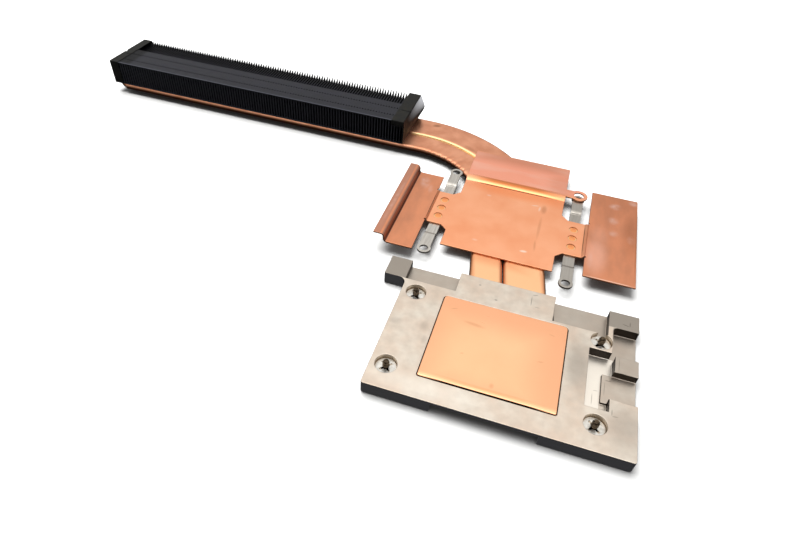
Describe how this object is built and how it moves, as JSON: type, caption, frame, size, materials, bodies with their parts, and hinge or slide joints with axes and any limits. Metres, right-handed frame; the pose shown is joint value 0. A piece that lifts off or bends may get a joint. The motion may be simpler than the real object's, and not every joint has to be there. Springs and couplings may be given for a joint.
{
  "type": "laptop heatsink",
  "caption": "Laptop heatsink lying contact side up: cast frame with copper block, stamped copper plate with spring arms, flat heat pipes bending into a long black fin stack.",
  "frame": {"origin": "centre of the copper block's contact face", "axes": "+Z out of the contact face, +Y from the cast frame to the fin stack, -X along the fin stack to its far end"},
  "size_m": [0.2386, 0.1462, 0.0147],
  "materials": {
    "frame_cast": "die-cast, tumbled, slightly stained",
    "copper_block": "bare copper, milled and lapped",
    "copper_pipe": "bare copper tube, dull",
    "copper_sheet": "bare copper sheet, rolled",
    "spring_steel": "stamped stainless spring steel",
    "fins_black": "black coated aluminium, matt",
    "tape_black": "black polyester film tape",
    "screw_steel": "nickel plated steel",
    "retainer_steel": "zinc plated spring steel"
  },
  "bodies": {
    "heatsink": {"mounting_frame": "frame_cast", "contact_block": "copper_block", "heat_pipe_narrow": "copper_pipe", "heat_pipe_wide": "copper_pipe", "cpu_plate": "copper_sheet", "spring_arm_left": "spring_steel", "spring_arm_right": "spring_steel", "cooling_fins": "fins_black", "end_tape_left": "tape_black", "end_tape_right": "tape_black", "screw_retainer_front_left": "retainer_steel", "screw_retainer_rear_left": "retainer_steel", "screw_retainer_front_right": "retainer_steel", "screw_retainer_rear_right": "retainer_steel"},
    "screw_front_left": {"captive_screw_front_left": "screw_steel"},
    "screw_rear_left": {"captive_screw_rear_left": "screw_steel"},
    "screw_front_right": {"captive_screw_front_right": "screw_steel"},
    "screw_rear_right": {"captive_screw_rear_right": "screw_steel"}
  },
  "joints": [
    {"name": "screw_front_left_turn", "type": "hinge", "parent": "heatsink", "child": "screw_front_left", "pos_m": [-0.0283, -0.0153, -0.005], "axis": [0, 0, 1], "continuous": true},
    {"name": "screw_rear_left_turn", "type": "hinge", "parent": "heatsink", "child": "screw_rear_left", "pos_m": [-0.0283, 0.0145, -0.005], "axis": [0, 0, 1], "continuous": true},
    {"name": "screw_front_right_turn", "type": "hinge", "parent": "heatsink", "child": "screw_front_right", "pos_m": [0.0293, -0.0153, -0.005], "axis": [0, 0, 1], "continuous": true},
    {"name": "screw_rear_right_turn", "type": "hinge", "parent": "heatsink", "child": "screw_rear_right", "pos_m": [0.0293, 0.0145, -0.005], "axis": [0, 0, 1], "continuous": true}
  ]
}
